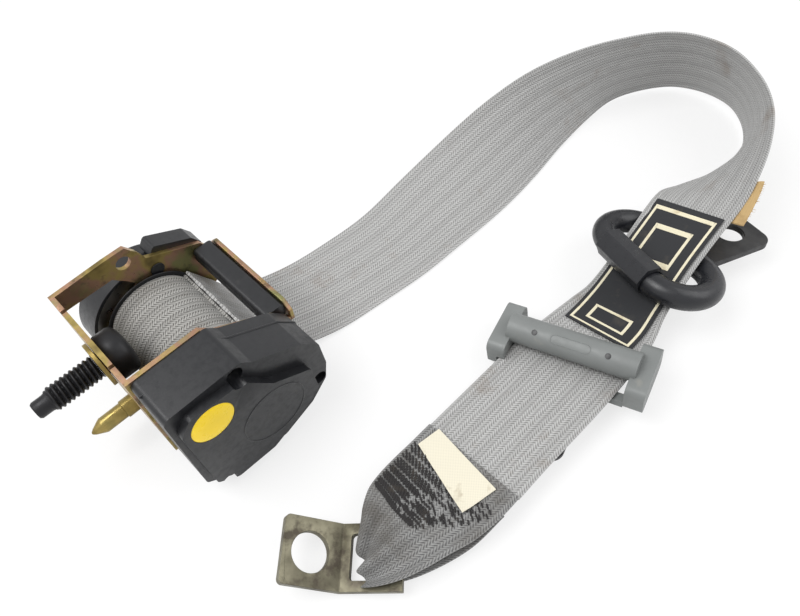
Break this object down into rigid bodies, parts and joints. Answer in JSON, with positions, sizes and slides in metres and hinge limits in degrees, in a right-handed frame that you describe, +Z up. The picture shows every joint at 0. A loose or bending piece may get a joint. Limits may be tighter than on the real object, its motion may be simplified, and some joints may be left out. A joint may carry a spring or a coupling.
{
  "type": "three-point seat belt half",
  "caption": "Inertia-reel seat belt half: steel-framed retractor with locking cover and spring case, webbing strap, pillar loop, latch tongue and floor anchor.",
  "frame": {"origin": "centre of the mounting bolt at the rear face of the retractor's back plate", "axes": "+X out of the retractor along the laid-out webbing, away from the car body; +Y along the spool axis towards the spring case; +Z up, the surface it lies on being at z = -0.05"},
  "size_m": [0.3622, 0.1916, 0.067],
  "materials": {
    "zinc_frame": "yellow-passivated zinc plating, satin",
    "black_steel": "black phosphated steel, satin",
    "black_plastic": "satin black moulding",
    "screw_steel": "bright steel",
    "yellow_plastic": "plain yellow disc",
    "grey_webbing": "woven polyester, grey",
    "label_fabric": "cream woven label, left bare",
    "black_fabric": "black woven patch with a cream border",
    "tan_fabric": "tan woven tab, frayed",
    "ring_plastic": "satin black overmoulding",
    "grey_steel": "dull grey steel",
    "dull_steel": "dull stained steel",
    "grey_plastic": "mid grey moulding"
  },
  "bodies": {
    "retractor": {"retractor_frame": "zinc_frame", "front_tie_plate": "zinc_frame", "webbing_guide": "black_plastic", "locating_pin": "zinc_frame", "near_bush": "black_plastic", "far_bush": "black_plastic", "pawl_pin": "black_steel", "sensor_cup": "black_plastic", "mechanism_cover": "black_plastic", "side_mark": "yellow_plastic", "cover_screws": "screw_steel", "spring_case": "black_plastic", "case_rivets": "zinc_frame", "spring_plate": "screw_steel", "return_spring": "screw_steel", "flange_plug": "black_plastic", "webbing_strap": "grey_webbing", "strap_patch": "black_fabric", "backing_tab": "tan_fabric", "sewn_end": "grey_webbing", "webbing_eye": "grey_webbing", "end_label": "label_fabric"},
    "spool_unit": {"spool": "black_plastic", "webbing_roll": "grey_webbing", "torsion_shaft": "black_steel", "ratchet_wheel": "black_steel", "clutch_disc": "black_plastic", "spring_arbor": "zinc_frame"},
    "pawl": {"locking_pawl": "black_steel"},
    "lock_ring_unit": {"lock_ring": "black_plastic"},
    "ball": {"sensor_ball": "screw_steel"},
    "lever": {"sensor_lever": "black_plastic"},
    "bolt": {"mounting_bolt": "black_steel", "bolt_washer": "zinc_frame"},
    "pillar_loop": {"loop_body": "ring_plastic", "loop_sleeve": "ring_plastic", "loop_tab": "grey_steel"},
    "tongue": {"tongue_plate": "dull_steel", "tongue_grip": "grey_plastic"},
    "anchor": {"anchor_plate": "dull_steel"}
  },
  "joints": [
    {"name": "spool_spin", "type": "hinge", "parent": "retractor", "child": "spool_unit", "pos_m": [0.03, 0, -0.024], "axis": [0, 1, 0], "continuous": true},
    {"name": "lock_ring_turn", "type": "hinge", "parent": "retractor", "child": "lock_ring_unit", "pos_m": [0.03, 0, -0.024], "axis": [0, 1, 0], "range_deg": [0, 5], "stiffness_Nm_per_rad": 0.05, "springref_deg": -11.46},
    {"name": "pawl_swing", "type": "hinge", "parent": "retractor", "child": "pawl", "pos_m": [0.052, 0, -0.008], "axis": [0, -1, 0], "range_deg": [0, 7.5]},
    {"name": "ball_lift", "type": "slide", "parent": "retractor", "child": "ball", "axis": [0, 0, 1], "range_m": [0, 0.0008]},
    {"name": "lever_tilt", "type": "hinge", "parent": "retractor", "child": "lever", "pos_m": [0.037, -0.0406, -0.0257], "axis": [0, -1, 0], "range_deg": [0, 5]},
    {"name": "bolt_spin", "type": "hinge", "parent": "retractor", "child": "bolt", "pos_m": [0, 0, 0], "axis": [1, 0, 0], "continuous": true},
    {"name": "loop_slide", "type": "slide", "parent": "retractor", "child": "pillar_loop", "axis": [0.972, 0.0374, 0.2318], "range_m": [-0.004, 0.004]},
    {"name": "tongue_slide", "type": "slide", "parent": "retractor", "child": "tongue", "axis": [0.999, 0.0069, 0.0444], "range_m": [-0.018, 0.006]},
    {"name": "anchor_swing", "type": "hinge", "parent": "retractor", "child": "anchor", "pos_m": [0.034, -0.119, -0.0444], "axis": [-0.7254, -0.6884, 0], "range_deg": [-20, 20]}
  ],
  "couplings": [
    {"joint": "pawl_swing", "follows": "lock_ring_turn", "ratio": 1.5}
  ]
}
